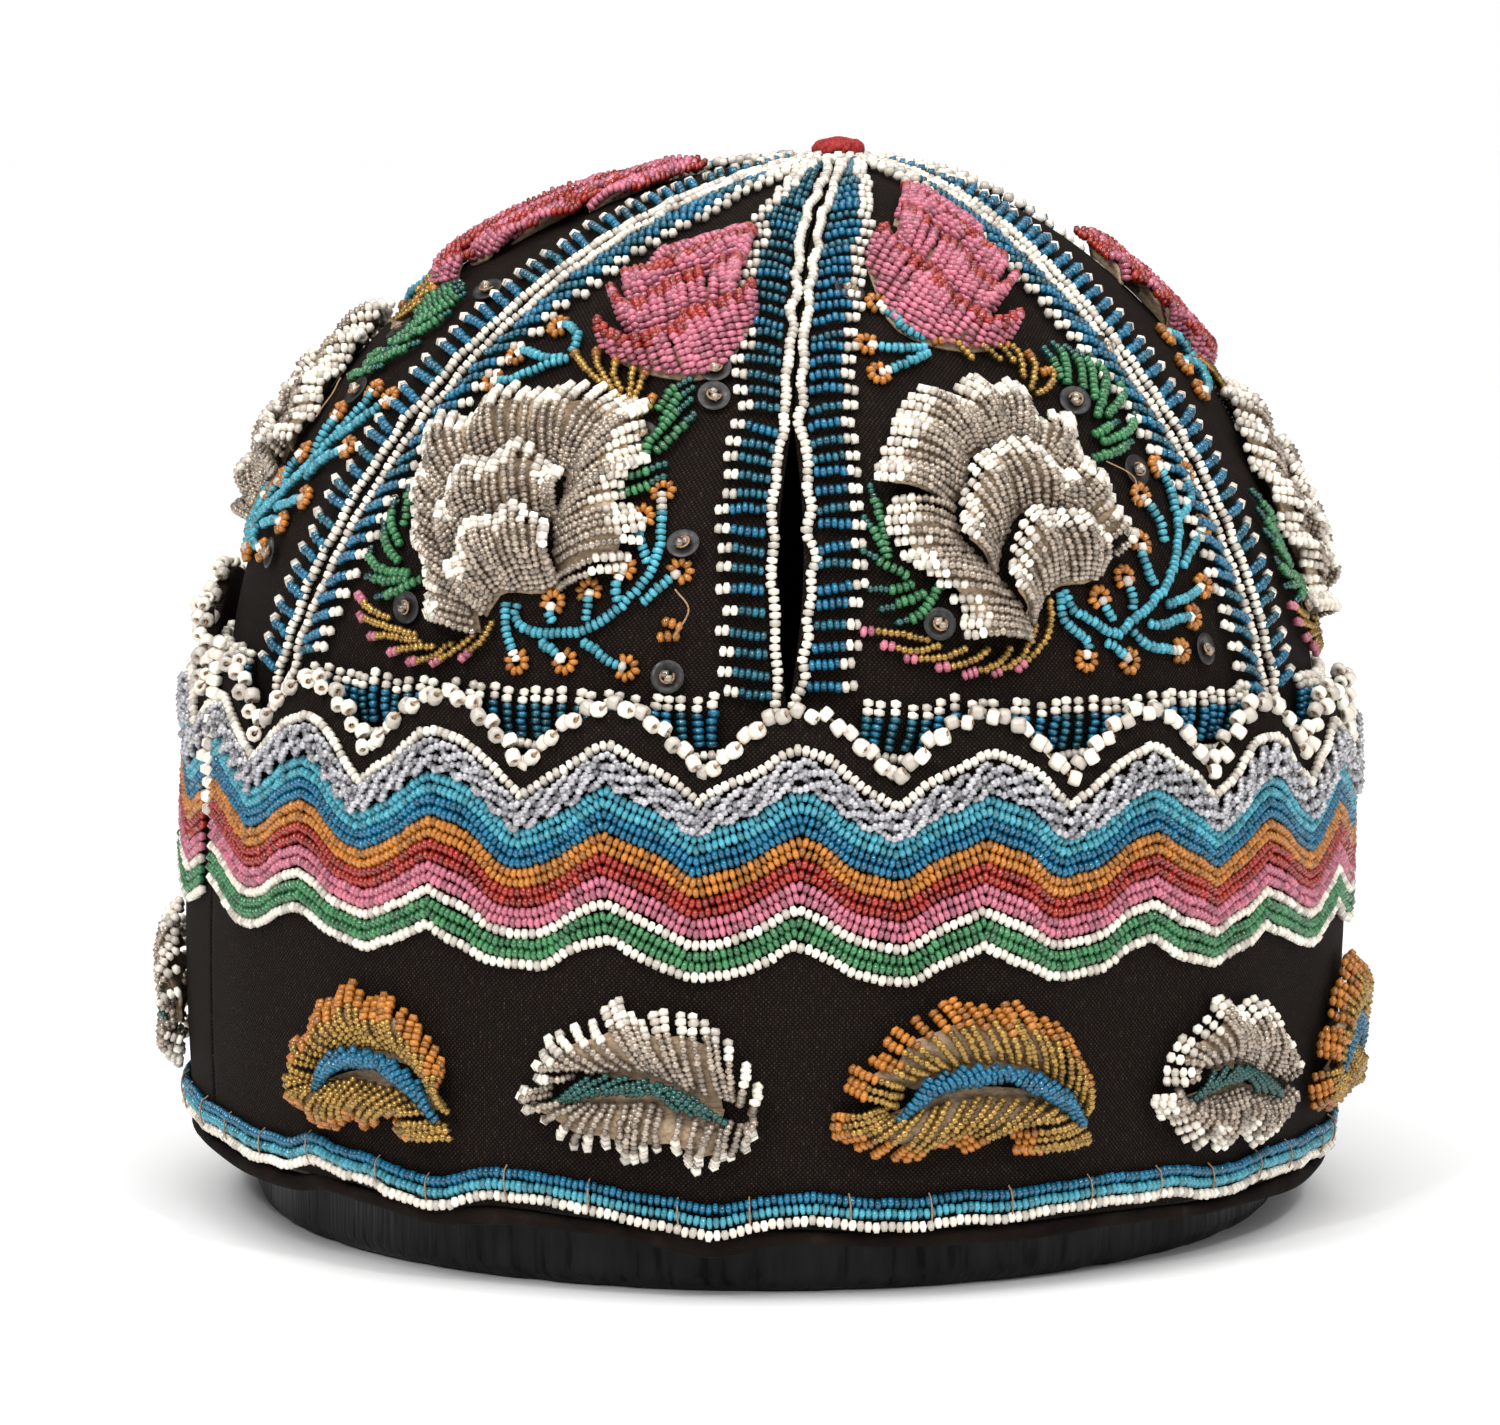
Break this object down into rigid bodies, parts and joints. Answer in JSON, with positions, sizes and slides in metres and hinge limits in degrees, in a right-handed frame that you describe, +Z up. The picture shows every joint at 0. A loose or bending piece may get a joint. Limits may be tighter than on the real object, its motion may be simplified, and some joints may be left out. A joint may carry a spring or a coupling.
{
  "type": "beaded cap on a wooden block stand",
  "caption": "Six-gore cloth cap with a scalloped standing band, raised bead flowers and wavy bead rows, on a low black oval wooden block.",
  "frame": {"origin": "middle of the block's foot, on the surface it stands on", "axes": "+Z up, -Y towards the front seam of the cap, +X to the viewer's right as seen from the front"},
  "size_m": [0.1961, 0.2011, 0.1701],
  "materials": {
    "black_cloth": "brown-black plain-weave cotton velvet backing",
    "hem_cloth": "brown-black rolled binding",
    "white_beads": "opaque cream-white glass seed beads",
    "clear_beads": "silver-lined clear glass seed beads",
    "blue_beads": "opaque blue glass seed beads",
    "turquoise_beads": "opaque turquoise glass seed beads",
    "orange_beads": "amber-orange glass seed beads",
    "red_beads": "transparent red glass seed beads",
    "pink_beads": "pink glass seed beads",
    "green_beads": "green glass seed beads",
    "teal_beads": "dark teal metallic glass seed beads",
    "gold_beads": "gold-lined amber glass seed beads",
    "sequins": "tarnished thin metal discs",
    "thread": "tan linen thread",
    "red_wool": "red wool yarn",
    "card": "brown card under the lifted beads",
    "black_wood": "black painted wood, satin, with grain cracks"
  },
  "bodies": {
    "root": {"stand_block": "black_wood", "stand_post": "black_wood", "crown_gore_1": "black_cloth", "crown_gore_2": "black_cloth", "crown_gore_3": "black_cloth", "crown_gore_4": "black_cloth", "crown_gore_5": "black_cloth", "crown_gore_6": "black_cloth", "band_front": "black_cloth", "zigzag_front": "blue_beads", "scallop_edging_front": "white_beads", "band_back": "black_cloth", "zigzag_back": "blue_beads", "scallop_edging_back": "white_beads", "rim_beading": "blue_beads", "hem_binding": "hem_cloth", "top_knot": "red_wool", "seam_border_1_left": "blue_beads", "seam_border_1_right": "blue_beads", "flower_1": "white_beads", "bud_1": "pink_beads", "seam_border_2_left": "blue_beads", "seam_border_2_right": "blue_beads", "flower_2": "white_beads", "bud_2": "pink_beads", "seam_border_3_left": "blue_beads", "seam_border_3_right": "blue_beads", "flower_3": "white_beads", "bud_3": "pink_beads", "seam_border_4_left": "blue_beads", "seam_border_4_right": "blue_beads", "flower_4": "white_beads", "bud_4": "pink_beads", "seam_border_5_left": "blue_beads", "seam_border_5_right": "blue_beads", "flower_5": "white_beads", "bud_5": "pink_beads", "seam_border_6_left": "blue_beads", "seam_border_6_right": "blue_beads", "flower_6": "white_beads", "bud_6": "pink_beads", "band_leaf_1": "gold_beads", "band_leaf_2": "white_beads", "band_leaf_3": "gold_beads", "band_leaf_4": "white_beads", "band_leaf_5": "gold_beads", "band_leaf_6": "white_beads", "band_leaf_7": "gold_beads", "band_leaf_8": "white_beads", "band_leaf_9": "gold_beads", "band_leaf_10": "white_beads", "band_leaf_11": "gold_beads", "band_leaf_12": "white_beads"}
  },
  "joints": []
}
